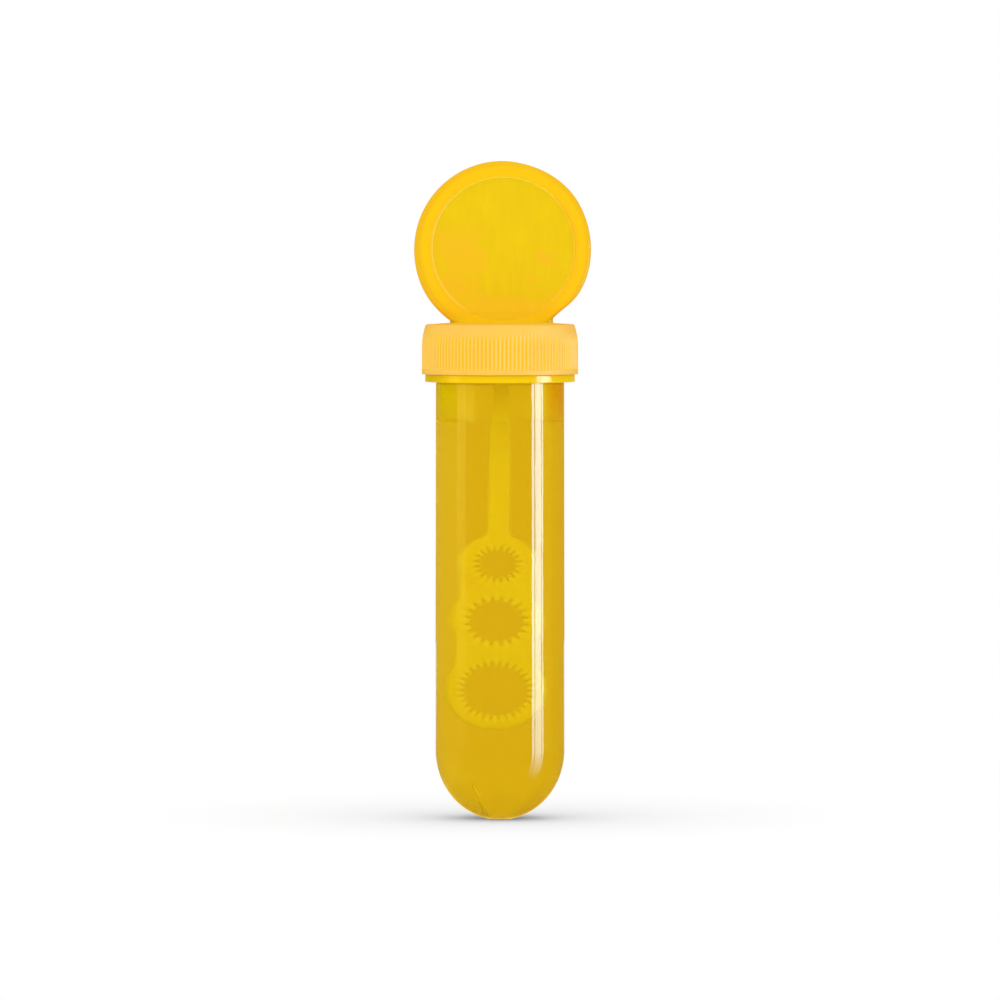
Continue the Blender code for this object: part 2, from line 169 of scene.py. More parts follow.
# Colours and the floor
COOL = (0.5, 0.75, 1.0)
WARM = (1.0, 0.88, 0.2)
AMBER = (1.0, 0.58, 0.1)
FLOOR_R = 650
FLOOR_WHITE = 0.82
FLOOR_LIFT = 0.16
FLOOR_FAR = 1.05
FLOOR_SHADE = (60, 200)  # where the shaded floor gives way to an even one, from the origin
GLOW = 0.6
GLOW_REACH = (15, 60)
GLOW_COLOUR = (1.0, 0.6, 0.01)

# Upright strips beside the tube, split by thin frames, which draw the lines down it. A look
# is the height of the foot, the radiance, the colour, what is left of the radiance at the foot,
# over how many millimetres it falls to that, and at what power of a straight line.
STRIPS_AWAY = 150.0
STRIPS_TOP = 130
RIGHT_LOOK = (-110, 13.0, COOL, 0.08, 138, 2)
LEFT_LOOK = (1, 1.7, WARM, 0.2, 100, 1)
STRIPS = (
    # name, first and last degrees round from the front, look
    ("strip_right_0", 58.9, 64.0, RIGHT_LOOK),
    ("strip_right_1", 65.8, 79.5, RIGHT_LOOK),
    ("strip_right_2", 80.7, 84.1, RIGHT_LOOK),
    ("strip_left_3", -83.7, -63.6, LEFT_LOOK),
)

# Camera
SENSOR = 36.0
VIEW_WIDTH = 191.0  # at the tube's axis
CAMERA_DISTANCE = 1600.0
CAMERA_Z = 115.0
AIM_Z = 60.9

PLASTIC_IOR = 1.49
LIQUID_IOR = 1.36  # water with soap and glycerine


def mesh_object(name, shape, sharp=30.0):
    """An object from a bmesh in millimetres."""
    bmesh.ops.scale(shape, vec=Vector((MM, MM, MM)), verts=shape.verts)
    mesh = bpy.data.meshes.new(name)
    shape.to_mesh(mesh)
    shape.free()
    made = bpy.data.objects.new(name, mesh)
    bpy.context.scene.collection.objects.link(made)
    smooth(made, sharp)
    return made


def smooth(obj, sharp=30.0):
    obj.data.shade_smooth()
    obj.data.set_sharp_from_angle(angle=math.radians(sharp))


def rounded(corners, steps=5):
    """A profile whose (r, z, fillet) corners are rounded by arcs."""
    points = []
    last = len(corners) - 1
    for i, (r, z, fillet) in enumerate(corners):
        here = Vector((r, z))
        if fillet == 0 or i in (0, last):
            points.append((r, z))
            continue
        back = Vector(corners[i - 1][:2]) - here
        ahead = Vector(corners[i + 1][:2]) - here
        half = back.angle(ahead) / 2
        reach = min(fillet / math.tan(half), 0.48 * back.length, 0.48 * ahead.length)
        radius = reach * math.tan(half)
        back.normalize()
        ahead.normalize()
        centre = here + (back + ahead).normalized() * (radius / math.sin(half))
        start, end = here + back * reach - centre, here + ahead * reach - centre
        for k in range(steps + 1):
            share = k / steps
            arm = (start * (1 - share) + end * share).normalized() * radius
            points.append(tuple(centre + arm))
    return points


def revolve(name, profile, segments, warp=None):
    """A closed body turned about Z. The (r, z) profile starts and ends on the axis or closes.

    warp(r, turn) gives where a point of the profile at radius r goes, as (x, y).
    """
    shape = bmesh.new()
    rings = []
    for r, z in profile:
        count = segments if r > 1e-6 else 1
        ring = []
        for i in range(count):
            turn = math.tau * i / segments
            x, y = warp(r, turn) if warp else (r * math.cos(turn), r * math.sin(turn))
            ring.append(shape.verts.new((x, y, z)))
        rings.append(ring)
    pairs = list(zip(rings, rings[1:]))
    if len(rings[0]) > 1 and len(rings[-1]) > 1:
        pairs.append((rings[-1], rings[0]))
    for one, two in pairs:
        for i in range(segments):
            j = (i + 1) % segments
            corners = [one[i % len(one)], one[j % len(one)], two[j % len(two)], two[i % len(two)]]
            face = list(dict.fromkeys(corners))
            if len(face) > 2:
                shape.faces.new(face)
    bmesh.ops.recalc_face_normals(shape, faces=shape.faces)
    return mesh_object(name, shape)


def sweep(name, points, radii):
    """A round bar along points, with a radius at each."""
    around = 12
    shape = bmesh.new()
    rings = []
    for i, (point, radius) in enumerate(zip(points, radii)):
        ahead = points[min(i + 1, len(points) - 1)] - points[max(i - 1, 0)]
        side = ahead.orthogonal().normalized() if i == 0 else side_of(side, ahead)
        up = ahead.normalized().cross(side)
        rings.append(
            [
                shape.verts.new(
                    point + (side * math.cos(swing) + up * math.sin(swing)) * radius
                )
                for swing in (math.tau * k / around for k in range(around))
            ]
        )
    for one, two in zip(rings, rings[1:]):
        for k in range(around):
            j = (k + 1) % around
            shape.faces.new((one[k], one[j], two[j], two[k]))
    shape.faces.new(rings[0])
    shape.faces.new(rings[-1])
    bmesh.ops.recalc_face_normals(shape, faces=shape.faces)
    return mesh_object(name, shape)


def side_of(side, ahead):
    """The side vector carried on to a new heading."""
    heading = ahead.normalized()
    return (side - heading * side.dot(heading)).normalized()


def block(name, centre, size, edge=0.0):
    """A cuboid with rounded upright edges."""
    shape = bmesh.new()
    bmesh.ops.create_cube(shape, size=1.0)
    bmesh.ops.scale(shape, vec=Vector(size), verts=shape.verts)
    bmesh.ops.translate(shape, vec=Vector(centre), verts=shape.verts)
    if edge:
        upright = [e for e in shape.edges if e.verts[0].co.xy == e.verts[1].co.xy]
        bmesh.ops.bevel(
            shape, geom=upright, offset=edge, segments=8, profile=0.5, affect="EDGES"
        )
    return mesh_object(name, shape)


def mesh_of(obj):
    """The mesh that an object has after its modifiers."""
    bpy.context.view_layer.update()
    graph = bpy.context.evaluated_depsgraph_get()
    return bpy.data.meshes.new_from_object(obj.evaluated_get(graph))


def combine(obj, other, operation):
    """Cuts obj by other, or joins other to it, and removes other."""
    step = obj.modifiers.new("Combine", "BOOLEAN")
    step.operation = operation
    step.solver = "EXACT"
    step.object = other
    mesh = mesh_of(obj)
    obj.modifiers.clear()
    obj.data = mesh
    bpy.data.objects.remove(other, do_unlink=True)
    smooth(obj)


def leaned(x=0.0, z=0.0):
    """The matrix of a thing at (x, z) from the handle's seat, leaning about it."""
    seat = Matrix.Translation(Vector((SEAT_X, 0, SEAT_Z)) * MM)
    return seat @ Matrix.Rotation(LEAN, 4, "Y") @ Matrix.Translation(Vector((x, 0, z)) * MM)


def finished(obj, material, body, slot, *nodes):
    """Gives a piece its material and its body. slot, its place in the record, is not used."""
    obj.data.materials.clear()
    obj.data.materials.append(material)
    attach(obj, body)
    if nodes:
        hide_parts(*nodes)


class Nodes:
    """A material's or the world's node tree, with short calls for what is used here."""

    def __init__(self, owner):
        owner.use_nodes = True
        self.tree = owner.node_tree

    def add(self, kind, **values):
        node = self.tree.nodes.new(kind)
        for key, value in values.items():
            setattr(node, key, value)
        return node

    def put(self, value, socket):
        """Joins an output to a socket, or sets the socket to a number or a colour."""
        if hasattr(value, "is_output"):
            self.tree.links.new(value, socket)
        elif isinstance(value, tuple) and socket.type == "RGBA":
            socket.default_value = (*value, 1.0)
        else:
            socket.default_value = value

    def maths(self, operation, *values):
        node = self.add("ShaderNodeMath", operation=operation)
        for socket, value in zip(node.inputs, values):
            self.put(value, socket)
        return node.outputs[0]

    def vector(self, operation, *values):
        node = self.add("ShaderNodeVectorMath", operation=operation)
        for socket, value in zip(node.inputs, values):
            self.put(value, socket)
        return node.outputs["Value" if operation == "LENGTH" else "Vector"]

    def where(self, output="Object"):
        return self.add("ShaderNodeTexCoord").outputs[output]

    def axes(self, vector):
        node = self.add("ShaderNodeSeparateXYZ")
        self.put(vector, node.inputs[0])
        return tuple(node.outputs)

    def noise(self, size_mm, detail, stretch=(1, 1, 1), output="Fac"):
        """Noise with features of about size_mm, longer where stretch is more than 1."""
        scale = tuple(TO_MM / size_mm / s for s in stretch)
        made = self.add("ShaderNodeTexNoise")
        made.inputs["Scale"].default_value = 1.0
        made.inputs["Detail"].default_value = detail
        self.put(self.vector("MULTIPLY", self.where(), scale), made.inputs["Vector"])
        return made.outputs[output]

    def spread(self, value, low, high, to_low=0.0, to_high=1.0):
        node = self.add("ShaderNodeMapRange", clamp=True)
        for key, number in zip(
            ("Value", "From Min", "From Max", "To Min", "To Max"),
            (value, low, high, to_low, to_high),
        ):
            self.put(number, node.inputs[key])
        return node.outputs[0]

    def between(self, value, low, high, soft):
        """1 where a value in metres lies from low to high, in millimetres, with soft ends."""
        rise = self.spread(value, (low - soft) * MM, low * MM)
        fall = self.spread(value, high * MM, (high + soft) * MM, 1.0, 0.0)
        return self.maths("MULTIPLY", rise, fall)

    def blend_colours(self, share, first, second):
        node = self.add("ShaderNodeMix", data_type="RGBA")
        self.put(share, node.inputs["Factor"])
        colours = [s for s in node.inputs if s.type == "RGBA"]
        self.put(first, colours[0])
        self.put(second, colours[1])
        return next(s for s in node.outputs if s.type == "RGBA")

    def bump(self, height, distance_mm, under=None):
        node = self.add("ShaderNodeBump")
        node.inputs["Distance"].default_value = distance_mm * MM
        self.put(height, node.inputs["Height"])
        if under:
            self.put(under, node.inputs["Normal"])
        return node.outputs[0]

    def mix_shaders(self, share, first, second):
        node = self.add("ShaderNodeMixShader")
        self.put(share, node.inputs[0])
        self.put(first, node.inputs[1])
        self.put(second, node.inputs[2])
        return node.outputs[0]


def new_plastic(name, roughness, gloss):
    """A plastic with the grain of a moulded face. gloss is its specular level."""
    rough_spread = 0.05
    made = bpy.data.materials.new(name)
    nodes = Nodes(made)
    shader = nodes.tree.nodes["Principled BSDF"]
    shader.inputs["IOR"].default_value = PLASTIC_IOR
    shader.inputs["Specular IOR Level"].default_value = gloss
    grain = nodes.noise(0.4, 2.0)
    rough = nodes.spread(grain, 0.3, 0.7, roughness - rough_spread, roughness + rough_spread)
    nodes.put(rough, shader.inputs["Roughness"])
    waves = nodes.bump(nodes.noise(4.0, 2.0), 0.02)
    nodes.put(nodes.bump(grain, 0.001, waves), shader.inputs["Normal"])
    return made, nodes, shader


def see_through(name, ior, roughness, clear_share, lets_in, lets_past, shine=1.0):
    """Clear plastic or liquid, which lets the lamps' light through to what is inside.

    roughness is given as its least and its most. What clear_share leaves of 1 is cloudy, and
    shines back as a coloured haze. lets_in tints light that meets the faces from within, and
    lets_past light that meets them from outside. shine is under 1 on a wet face, which mirrors
    less than a dry one.
    """
    made = bpy.data.materials.new(name)
    nodes = Nodes(made)
    shader = nodes.tree.nodes["Principled BSDF"]
    shader.inputs["Transmission Weight"].default_value = clear_share
    shader.inputs["IOR"].default_value = ior
    shader.inputs["Specular Tint"].default_value = (shine, shine, shine, 1)
    cloud = nodes.noise(2.5, 4.0)
    nodes.put(nodes.spread(cloud, 0.3, 0.7, *roughness), shader.inputs["Roughness"])
    clear = nodes.add("ShaderNodeBsdfTransparent")
    from_within = nodes.add("ShaderNodeNewGeometry").outputs["Backfacing"]
    nodes.put(nodes.blend_colours(from_within, lets_past, lets_in), clear.inputs["Color"])
    path = nodes.add("ShaderNodeLightPath").outputs
    passing = nodes.maths("MAXIMUM", path["Is Shadow Ray"], path["Is Diffuse Ray"])
    mixed = nodes.mix_shaders(passing, shader.outputs[0], clear.outputs[0])
    nodes.put(mixed, nodes.tree.nodes["Material Output"].inputs["Surface"])
    return made, nodes, shader


def tube_outside():
    """The tube's polished outer face, drawn in fine upright lines."""
    made, nodes, shader = see_through(
        "tube_clear_yellow",
        PLASTIC_IOR,
        (0.03, 0.05),
        clear_share=0.87,
        lets_in=(1.0, 0.98, 0.8),
        lets_past=(0.03, 0.03, 0.03),
    )
    x, _, z = nodes.axes(nodes.where())
    neck = nodes.spread(z, (LEVEL_Z - 2) * MM, (FLANGE_Z - 3) * MM)
    # Painted light and shade: towards the neck the left side is drawn greener and the right side
    # a darker orange
    left = nodes.maths("MULTIPLY", neck, nodes.spread(x, -7 * MM, -11 * MM))
    right = nodes.maths("MULTIPLY", neck, nodes.spread(x, 8.5 * MM, 11.5 * MM))
    colour = nodes.blend_colours(neck, (0.77, 0.468, 0.007), (0.77, 0.47, 0.005))
    colour = nodes.blend_colours(left, colour, (0.77, 0.56, 0.0))
    colour = nodes.blend_colours(right, colour, (0.81, 0.34, 0.0))
    nodes.put(colour, shader.inputs["Base Color"])
    ripples = nodes.bump(nodes.noise(1.2, 2.0, stretch=(1, 1, 2.5)), 0.005)
    streaks = nodes.bump(nodes.noise(0.5, 2.0, stretch=(1, 1, 50)), 0.005, ripples)
    nodes.put(streaks, shader.inputs["Normal"])
    return made


def colourless(name, ior, roughness, tint, shine):
    """A see-through material with hardly any tint."""
    made, nodes, shader = see_through(name, ior, roughness, 1.0, tint, tint, shine)
    nodes.put(tint, shader.inputs["Base Color"])
    return made


def tube_inside(name, shine):
    """The tube's inner face, a little rougher than the outer one."""
    return colourless(name, PLASTIC_IOR, (0.12, 0.18), (0.99, 0.99, 0.98), shine)


def tube_flange():
    """The thick flange and neck, which look deeper coloured than the thin wall."""
    made, nodes, shader = see_through(
        "tube_thick_yellow",
        PLASTIC_IOR,
        (0.1, 0.16),
        clear_share=0.1,
        lets_in=(0.98, 0.95, 0.5),
        lets_past=(0.85, 0.8, 0.5),
    )
    x = nodes.axes(nodes.where())[0]
    # Painted shade: the flange's left end is drawn darker
    left = nodes.spread(x, -9.5 * MM, -13.5 * MM)
    colour = nodes.blend_colours(left, (0.98, 0.65, 0.002), (0.74, 0.5, 0.003))
    nodes.put(colour, shader.inputs["Base Color"])
    return made


def liquid_material():
    return colourless("bubble_liquid_clear", LIQUID_IOR, (0.0, 0.03), (0.98, 0.98, 0.97), 0.2)


def foam_material():
    made, nodes, shader = new_plastic("washer_white_foam", 0.7, 0.3)
    patches = nodes.spread(nodes.noise(6.0, 4.0), 0.38, 0.66)
    colour = nodes.blend_colours(patches, (0.82, 0.82, 0.78), (0.74, 0.74, 0.7))
    nodes.put(colour, shader.inputs["Base Color"])
    nodes.put(nodes.bump(nodes.noise(0.25, 2.0), 0.08), shader.inputs["Normal"])
    return made


def wand_material():
    made, nodes, shader = new_plastic("wand_yellow", 0.3, 0.15)
    shader.inputs["Subsurface Weight"].default_value = 0.5
    shader.inputs["Subsurface Radius"].default_value = (1.0, 0.7, 0.2)
    shader.inputs["Subsurface Scale"].default_value = MM
    patches = nodes.spread(nodes.noise(6.0, 4.0), 0.38, 0.66)
    colour = nodes.blend_colours(patches, (0.98, 0.84, 0.1), (0.97, 0.8, 0.09))

    # Each tooth runs on over the ring's face as a low rib, which fades outwards
    height = 0.0
    for down, _, root, teeth, _ in RINGS:
        centre = leaned(0, -down).translation
        local = nodes.vector("SUBTRACT", nodes.where(), (centre.x, 0, centre.z))
        x, _, z = nodes.axes(local)
        turn = nodes.maths("SUBTRACT", nodes.maths("ARCTAN2", x, z), LEAN)
        wave = nodes.maths("COSINE", nodes.maths("MULTIPLY", turn, teeth))
        reach = nodes.vector("LENGTH", nodes.vector("MULTIPLY", local, (1, 0, 1)))
        near = nodes.spread(reach, (root + 1.1) * MM, (root + 0.1) * MM)
        # Painted highlight and shade: each rib's crest is drawn lighter and the dip beside it
        # darker
        crest = nodes.maths("MULTIPLY", nodes.spread(wave, -0.1, 0.6), near)
        dip = nodes.maths("MULTIPLY", nodes.spread(wave, 0.1, -0.6), near)
        colour = nodes.blend_colours(crest, colour, (1.0, 0.88, 0.115))
        colour = nodes.blend_colours(dip, colour, (0.96, 0.79, 0.085))
        height = nodes.maths("ADD", height, nodes.maths("MULTIPLY", wave, near))
    under = shader.inputs["Normal"].links[0].from_socket
    nodes.put(nodes.bump(height, 0.02, under), shader.inputs["Normal"])
    nodes.put(colour, shader.inputs["Base Color"])
    return made


def cap_material():
    """Satin plastic, deeper yellow in the grooves as painted bounce light between the ribs, and
    paler on the crests as a painted sheen.
    """
    made, nodes, shader = new_plastic("cap_satin", 0.5, 0.3)
    x, y, z = nodes.axes(nodes.where())
    wave = nodes.maths("COSINE", nodes.maths("MULTIPLY", nodes.maths("ARCTAN2", y, x), RIBS))
    reach = nodes.vector("LENGTH", nodes.vector("MULTIPLY", nodes.where(), (1, 1, 0)))
    on_side = nodes.spread(reach, (CAP_R - CROWN - 0.5) * MM, (CAP_R - CROWN) * MM)
    low, high = CAP_BOTTOM + BAND_H + RIB_RUNOUT, CAP_EDGE_Z - RIB_END - RIB_FADE
    ribbed = nodes.maths(
        "MULTIPLY",
        nodes.spread(z, (low - RIB_RUNOUT) * MM, low * MM),
        nodes.spread(z, high * MM, (high + RIB_FADE) * MM, 1.0, 0.0),
    )
    ribbed = nodes.maths("MULTIPLY", ribbed, on_side)
    # Painted bounce light makes the grooves deeper yellow, and painted sheen makes the crests
    # paler
    groove = nodes.maths("MULTIPLY", nodes.spread(wave, 0.3, -0.3), ribbed)
    patches = nodes.spread(nodes.noise(5.0, 4.0), 0.35, 0.7)
    plain = nodes.blend_colours(patches, (0.97, 0.57, 0.07), (0.95, 0.54, 0.075))
    crest = nodes.maths("MULTIPLY", nodes.spread(wave, 0.0, 0.6), ribbed)
    colour = nodes.blend_colours(crest, plain, (1.0, 0.62, 0.11))
    colour = nodes.blend_colours(groove, colour, (0.97, 0.58, 0.0))
    nodes.put(colour, shader.inputs["Base Color"])
    return made


# Where the handle's panel is paler, from the panel's middle: x, z and the half-sizes
PALE_PATCHES = (
    (-8.4, -0.4, 5.0, 4.6),
    (-9.5, -6.5, 4.4, 3.4),
    (0.0, -11.7, 11.0, 3.6),
    (8.0, -1.5, 2.4, 1.6),
    (5.2, -5.6, 1.5, 1.0),
)


def handle_material():
    """Bright yellow, deeper on the rounded rim as a painted sheen and shade, with painted light
    and shade round the panel and mottled patches on it.
    """
    made, nodes, shader = new_plastic("handle_bright", 0.3, 0.12)
    middle = leaned(RECESS_SHIFT, DISC_Z - SEAT_Z + RECESS_SHIFT).translation
    from_middle = nodes.vector("SUBTRACT", nodes.where(), (middle.x, 0, middle.z))
    flat = nodes.vector("MULTIPLY", from_middle, (1, 0, 1))
    reach = nodes.vector("LENGTH", flat)
    x, _, z = nodes.axes(flat)
    _, facing, _ = nodes.axes(nodes.where("Normal"))

    # Patches with soft, ragged edges
    drift = nodes.vector("SUBTRACT", nodes.noise(2.5, 5.0, output="Color"), (0.5, 0.5, 0.5))
    ragged = nodes.vector("ADD", flat, nodes.vector("MULTIPLY", drift, (0.009, 0, 0.009)))
    pale = 0.0
    for at_x, at_z, half_x, half_z in PALE_PATCHES:
        local = nodes.vector("SUBTRACT", ragged, (at_x * MM, 0, at_z * MM))
        local = nodes.vector("MULTIPLY", local, (TO_MM / half_x, 0, TO_MM / half_z))
        spot = nodes.spread(nodes.vector("LENGTH", local), 0.6, 1.2, 1.0, 0.0)
        pale = nodes.maths("MAXIMUM", pale, spot)
    brushed = nodes.noise(1.5, 3.0, stretch=(1, 1, 4))
    bright = nodes.spread(brushed, 0.4, 0.75)
    panel = nodes.blend_colours(bright, (0.81, 0.55, 0.0), (0.86, 0.585, 0.0))
    # Painted light: the patches are drawn paler low down, against the shade near the cap
    low_down = nodes.spread(z, -8 * MM, -12 * MM)
    paler = nodes.blend_colours(low_down, (0.875, 0.52, 0.006), (0.91, 0.565, 0.008))
    panel = nodes.blend_colours(pale, panel, paler)

    # The rim, with painted sheen and shade where it turns from the front, the ring inside it,
    # painted greener at the foot against the orange bounce light near the cap, and the painted
    # highlight and shade lines round the panel
    rim = nodes.spread(reach, (DISC_R - 1.4) * MM, (DISC_R - 0.7) * MM)
    rim = nodes.maths("MAXIMUM", rim, nodes.spread(nodes.maths("ABSOLUTE", facing), 0.9, 0.7))
    ring = nodes.blend_colours(rim, (0.95, 0.56, 0.0), (0.86, 0.485, 0.006))
    # Painted light: the ring is drawn greener at the foot, against the orange bounce light near
    # the cap
    foot = nodes.spread(z, -12.6 * MM, -14.2 * MM)
    ring = nodes.blend_colours(foot, ring, (0.93, 0.64, 0.0))
    on_panel = nodes.spread(reach, (RECESS_R - 0.2) * MM, RECESS_R * MM, 1.0, 0.0)
    colour = nodes.blend_colours(on_panel, ring, panel)
    # Painted highlight and shade on the recess's step: a bright line on the left, a pale line of
    # painted light along the top, a peach line of painted shade on the right, and a darker line
    # of painted shade just outside the step at the sides
    on_left, on_right = (nodes.spread(x, s * 6 * MM, s * 10 * MM) for s in (-1, 1))
    at_sides = nodes.maths("MAXIMUM", on_left, on_right)
    at_top = nodes.spread(z, 7 * MM, 11 * MM)
    for first, last, place, tint in (
        (RECESS_R - 0.3, RECESS_R, on_left, (1.0, 0.65, 0.05)),
        (RECESS_R - 0.4, RECESS_R, on_right, (0.97, 0.59, 0.02)),
        (RECESS_R - 0.3, RECESS_R, at_top, (1.0, 0.75, 0.03)),
        (RECESS_R + 0.15, RECESS_R + 0.45, at_sides, (0.93, 0.53, 0.005)),
    ):
        line = nodes.maths("MULTIPLY", nodes.between(reach, first, last, 0.08), place)
        colour = nodes.blend_colours(line, colour, tint)
    nodes.put(colour, shader.inputs["Base Color"])
    return made


def ellipse(a, b, centre_z, start, steps):
    """An ellipse's lower quarter as (r, z), from start off its lowest point to its side."""
    angles = [start + (math.pi / 2 - start) * i / steps for i in range(steps + 1)]
    return [(a * math.sin(t), centre_z - b * math.cos(t)) for t in angles]


FOOT_START = math.asin(FOOT_R / TUBE_R_LOW)
DOME_CENTRE_Z = DOME_H * math.cos(FOOT_START)


def helix(name, wall_r, proud, inwards, z_zero, low, high):
    """A thread's ridge, which sinks into the wall at both ends."""
    first, last = 360 * (low - z_zero) / PITCH, 360 * (high - z_zero) / PITCH
    side = -1 if inwards else 1
    count = round((last - first) / THREAD_STEP) + 1
    points, radii = [], []
    for i in range(count):
        angle = first + (last - first) * i / (count - 1)
        full = min(1.0, (angle - first) / THREAD_TAPER, (last - angle) / THREAD_TAPER)
        full = max(full, THREAD_TIP)
        r = wall_r + side * (proud - THREAD_R) - side * (1 - full) * THREAD_R
        turn = math.radians(angle)
        z = z_zero + PITCH * angle / 360
        points.append(Vector((r * math.cos(turn), r * math.sin(turn), z)))
        radii.append(THREAD_R * full)
    return sweep(name, points, radii)


def inside_dome():
    """The tube's inner bottom as (r, z), from the axis to the side."""
    return ellipse(TUBE_R_LOW - WALL, DOME_H - FLOOR, DOME_CENTRE_Z, 0, INNER_STEPS)


def on_dome(x, z):
    """The point of the tube's outer bottom at (x, z) that faces the front."""
    r = TUBE_R_LOW * math.sqrt(1 - ((DOME_CENTRE_Z - z) / DOME_H) ** 2)
    return Vector((x, -math.sqrt(r**2 - x**2), z))


def on_mark(x, y, z):
    """Whether a face with its centre at (x, y, z) belongs to the mould's mark."""
    first, last = (Vector(end) for end in MARK_ENDS)
    off = Vector((x, z)) - first
    along = (last - first).normalized()
    far_end = (last - first).length + MARK_DOT_R
    beside = abs(off.x * along.y - off.y * along.x)
    return y < 0 and beside < MARK_LINE_R + 0.01 and -MARK_DOT_R < off.dot(along) < far_end


def build_tube():
    outer = ellipse(TUBE_R_LOW, DOME_H, DOME_CENTRE_Z, FOOT_START, OUTER_STEPS)
    outer[0] = (FOOT_R, 0.0)
    bore = TUBE_R_TOP - WALL
    top = [
        (bore, LEVEL_Z, 0),
        (bore, FLANGE_Z, 0),
        (bore, LIP_Z, 0.35),
        (TUBE_R_TOP, LIP_Z, 0.35),
        (TUBE_R_TOP, FLANGE_SEEN_TOP, 0.2),
        (FLANGE_R, FLANGE_SEEN_TOP, 0.12),
        (FLANGE_R, FLANGE_Z, 0.12),
        (TUBE_R_TOP, FLANGE_Z, 0.15),
        (TUBE_R_TOP + 0.02, FLANGE_Z - 6, 0),
    ]
    profile = inside_dome() + rounded(top) + outer[::-1] + [(0.0, 0.0)]
    tube = revolve("tube_clear", profile, AROUND)
    low, high = FLANGE_TOP + THREAD_RISE, LIP_Z - THREAD_RISE
    ridge = helix("neck_ridge", TUBE_R_TOP, NECK_THREAD_PROUD, False, low, low, high)
    combine(tube, ridge, "UNION")

    # The mould's mark on the bottom: a fine line between two dots
    steps = 10
    points, radii = [], []
    for i in range(steps + 1):
        share = i / steps
        x, z = (a + (b - a) * share for a, b in zip(*MARK_ENDS))
        points.append(on_dome(x, z))
        radii.append(MARK_DOT_R if i in (0, steps) else MARK_LINE_R)
    combine(tube, sweep("mould_mark", points, radii), "UNION")

    finished(tube, tube_outside(), "tube", "tube_plastic", "tube")
    tube.data.materials.append(tube_inside("tube_inside_wet", 0.1))
    tube.data.materials.append(tube_inside("tube_inside_dry", 0.8))
    tube.data.materials.append(tube_flange())
    wet, dry, flange = range(1, 4)
    for face in tube.data.polygons:
        x, y, z = face.center * TO_MM
        out = Vector((x, y, z - max(z, DOME_H)))
        inner = face.normal.dot(out) < 0
        if z > FLANGE_Z - 0.05 or on_mark(x, y, z):
            face.material_index = flange
        elif inner:
            face.material_index = wet if z < LEVEL_Z else dry


def build_liquid():
    """The bubble liquid, with its surface drawn up at the wall."""
    side = [(r * (1 + LIQUID_LAP / TUBE_R_LOW), z - LIQUID_LAP) for r, z in inside_dome()]
    side[0] = (0.0, side[0][1])
    bore = TUBE_R_TOP - WALL
    surface = [(bore + LIQUID_LAP, LEVEL_Z + MENISCUS_H)]
    from_wall = [0.35 * 1.45**i for i in range(10)]
    for back in from_wall:
        rise = MENISCUS_H * math.exp(-back / MENISCUS_REACH)
        surface.append((bore - back, LEVEL_Z + rise))
    liquid = revolve("bubble_liquid", side + surface + [(0.0, LEVEL_Z)], AROUND)
    finished(liquid, liquid_material(), "tube", "tube_plastic")


def cap_side(z):
    """(radius, rib depth) of the cap's side at a height."""
    crown_to = CAP_EDGE_Z - EDGE_R
    share = max(0.0, (z - crown_to + CROWN_H) / CROWN_H)
    fade = min(1.0, max(0.0, (CAP_EDGE_Z - RIB_END - z) / RIB_FADE))
    rise = min(1.0, max(0.0, (z - CAP_BOTTOM - BAND_H) / RIB_RUNOUT))
    return CAP_R - CROWN * share**2, RIB_DEPTH * fade * rise


def cap_rows():
    """The cap's closed profile as (radius, height, rib depth), up its outside first."""
    crown_to = CAP_EDGE_Z - EDGE_R
    ribs_from = CAP_BOTTOM + BAND_H
    rows = []
    for i in range(5):
        turn = math.pi / 2 * i / 4
        r = CAP_R - CAP_FILLET * (1 - math.sin(turn))
        rows.append((r, CAP_BOTTOM + CAP_FILLET * (1 - math.cos(turn)), 0.0))
    heights = [ribs_from + RIB_RUNOUT * i / 3 for i in range(4)]
    rest = crown_to - heights[-1]
    heights += [crown_to - rest * (1 - i / 18) for i in range(1, 19)]
    for z in heights:
        r, depth = cap_side(z)
        rows.append((r, z, depth))
    for i in range(1, 7):
        turn = math.pi / 2 * i / 6
        r = CAP_R - CROWN - EDGE_R * (1 - math.cos(turn))
        rows.append((r, crown_to + EDGE_R * math.sin(turn), 0.0))
    inside = [
        (HOLE_R + 0.25, CAP_TOP),
        (HOLE_R + 0.07, CAP_TOP - 0.07),
        (HOLE_R, CAP_TOP - 0.25),
        (HOLE_R, CAP_CEILING),
        (CAP_BORE - CAP_CHAMFER, CAP_CEILING),
        (CAP_BORE, CAP_CEILING - CAP_CHAMFER),
        (CAP_BORE, CAP_BOTTOM + CAP_CHAMFER),
        (CAP_BORE + CAP_CHAMFER, CAP_BOTTOM),
    ]
    return rows + [(r, z, 0.0) for r, z in inside]


